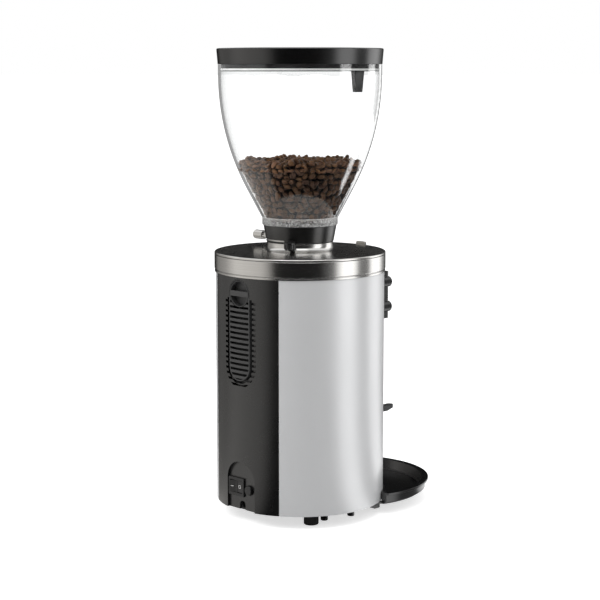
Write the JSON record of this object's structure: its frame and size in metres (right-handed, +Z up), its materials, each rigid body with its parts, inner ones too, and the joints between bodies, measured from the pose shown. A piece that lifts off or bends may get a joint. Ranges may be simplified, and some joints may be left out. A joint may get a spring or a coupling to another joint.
{
  "type": "burr coffee grinder",
  "caption": "Upright electric burr coffee grinder: round silver and black body, polished cap, clear bell hopper, rear louvred filter, display, portafilter fork and drip tray.",
  "frame": {"origin": "centre of the bounding box, at the counter under the feet", "axes": "+Z up, -Y to the front with display, spout and tray, +Y to the rear with switch and cable outlet, +X to the shutter knob"},
  "size_m": [0.2025, 0.276, 0.5351],
  "materials": {
    "polished_steel": "mirror-polished stainless steel",
    "silver_panel": "satin silver",
    "black_moulding": "fine matte grain",
    "black_gloss": "smooth, half gloss",
    "clear_hopper": "clear polycarbonate",
    "turned_steel": "turned and brushed",
    "foot_rubber": "dull",
    "screen_glass": "dark, smooth",
    "cast_aluminium": "as cast",
    "core_steel": "stacked sheets, lacquered",
    "burr_steel": "hardened, ground",
    "board": "lacquered circuit board",
    "painted_frame": "powder coat",
    "filter_screen": "fine woven screen"
  },
  "bodies": {
    "chassis": {"base_plate": "painted_frame", "rubber_feet": "foot_rubber", "base_studs": "black_moulding", "frame_columns": "painted_frame", "deck_plate": "cast_aluminium", "side_panel_left": "silver_panel", "side_panel_right": "silver_panel", "rear_panel": "black_moulding", "front_panel": "black_moulding", "fan_duct": "black_moulding", "fan_frame": "black_moulding", "switch_body": "black_gloss", "reset_breaker": "black_moulding", "cable_gland": "foot_rubber", "motor_housing": "painted_frame", "motor_end_bell": "cast_aluminium", "motor_bearings": "turned_steel", "stator_core": "core_steel", "grinding_chamber": "cast_aluminium", "cap_band": "polished_steel", "top_cover": "polished_steel", "display_housing": "black_moulding", "display_glass": "screen_glass", "control_board": "board", "outlet_chute": "cast_aluminium", "spout": "black_moulding", "fork_rail": "black_moulding", "tray_rails": "black_moulding", "run_capacitor": "cast_aluminium", "power_board": "board"},
    "grinding_rotor": {"motor_shaft": "turned_steel", "rotor_core": "core_steel", "lower_burr_carrier": "cast_aluminium", "lower_burr": "burr_steel", "carrier_bolt": "burr_steel"},
    "fan": {"fan_rotor": "black_moulding"},
    "grind_adjuster": {"adjusting_ring": "cast_aluminium", "grind_lever": "turned_steel"},
    "upper_carrier": {"upper_burr_carrier": "cast_aluminium", "upper_burr": "burr_steel"},
    "bean_hopper": {"hopper": "clear_hopper", "hopper_collar": "black_moulding"},
    "lid": {"hopper_lid": "black_gloss", "lid_tab": "black_gloss"},
    "shutter": {"shutter_plate": "turned_steel", "shutter_knob": "turned_steel"},
    "lock_knob": {"hopper_lock_knob": "black_moulding"},
    "filter_unit": {"filter_cover": "black_moulding", "dust_filter": "filter_screen"},
    "latch": {"latch_knob": "black_moulding"},
    "rocker": {"switch_rocker": "black_gloss"},
    "reset_key": {"reset_button": "black_gloss"},
    "key_high_left": {"button_high_left": "black_moulding"},
    "key_high_right": {"button_high_right": "black_moulding"},
    "key_low_left": {"button_low_left": "black_moulding"},
    "key_low_right": {"button_low_right": "black_moulding"},
    "fork": {"portafilter_fork": "painted_frame"},
    "clamp_knob": {"fork_clamp": "black_moulding"},
    "tray": {"drip_tray": "black_moulding"}
  },
  "joints": [
    {"name": "motor_spin", "type": "hinge", "parent": "chassis", "child": "grinding_rotor", "pos_m": [0, 0.03925, 0.215], "axis": [0, 0, 1], "continuous": true},
    {"name": "fan_spin", "type": "hinge", "parent": "chassis", "child": "fan", "pos_m": [0, 0.10325, 0.199], "axis": [0, 1, 0], "continuous": true},
    {"name": "grind_setting", "type": "hinge", "parent": "chassis", "child": "grind_adjuster", "pos_m": [0, 0.03925, 0.29], "axis": [0, 0, 1], "range_deg": [-20, 20]},
    {"name": "upper_burr_travel", "type": "slide", "parent": "chassis", "child": "upper_carrier", "axis": [0, 0, 1], "range_m": [-0.0005, 0.0005]},
    {"name": "hopper_lift", "type": "slide", "parent": "chassis", "child": "bean_hopper", "axis": [0, 0, 1], "range_m": [0, 0.08]},
    {"name": "lid_lift", "type": "slide", "parent": "bean_hopper", "child": "lid", "axis": [0, 0, 1], "range_m": [0, 0.1]},
    {"name": "shutter_slide", "type": "slide", "parent": "bean_hopper", "child": "shutter", "axis": [1, 0, 0], "range_m": [0, 0.06]},
    {"name": "hopper_lock", "type": "hinge", "parent": "bean_hopper", "child": "lock_knob", "pos_m": [-0.0228, 0.07874, 0.312], "axis": [0, 0, 1], "range_deg": [0, 180]},
    {"name": "filter_pull", "type": "slide", "parent": "chassis", "child": "filter_unit", "axis": [0, 1, 0], "range_m": [0, 0.04]},
    {"name": "filter_latch", "type": "hinge", "parent": "filter_unit", "child": "latch", "pos_m": [0, 0.12925, 0.2635], "axis": [0, 1, 0], "range_deg": [0, 90]},
    {"name": "power_rocker", "type": "hinge", "parent": "chassis", "child": "rocker", "pos_m": [0.0093, 0.12975, 0.0406], "axis": [0, 0, -1], "range_deg": [0, 18]},
    {"name": "reset_press", "type": "slide", "parent": "chassis", "child": "reset_key", "axis": [0, -1, 0], "range_m": [0, 0.002], "stiffness_N_per_m": 600},
    {"name": "press_high_left", "type": "slide", "parent": "chassis", "child": "key_high_left", "axis": [0, 1, 0], "range_m": [0, 0.0012], "stiffness_N_per_m": 800},
    {"name": "press_high_right", "type": "slide", "parent": "chassis", "child": "key_high_right", "axis": [0, 1, 0], "range_m": [0, 0.0012], "stiffness_N_per_m": 800},
    {"name": "press_low_left", "type": "slide", "parent": "chassis", "child": "key_low_left", "axis": [0, 1, 0], "range_m": [0, 0.0012], "stiffness_N_per_m": 800},
    {"name": "press_low_right", "type": "slide", "parent": "chassis", "child": "key_low_right", "axis": [0, 1, 0], "range_m": [0, 0.0012], "stiffness_N_per_m": 800},
    {"name": "fork_height", "type": "slide", "parent": "chassis", "child": "fork", "axis": [0, 0, 1], "range_m": [-0.012, 0.02]},
    {"name": "fork_clamp_turn", "type": "hinge", "parent": "fork", "child": "clamp_knob", "pos_m": [0, -0.07175, 0.0967], "axis": [0, 1, 0], "range_deg": [0, 270]},
    {"name": "tray_pull", "type": "slide", "parent": "chassis", "child": "tray", "axis": [0, -1, 0], "range_m": [0, 0.12]}
  ],
  "couplings": [
    {"joint": "upper_burr_travel", "follows": "grind_setting", "m_per_rad": 0.000955}
  ]
}
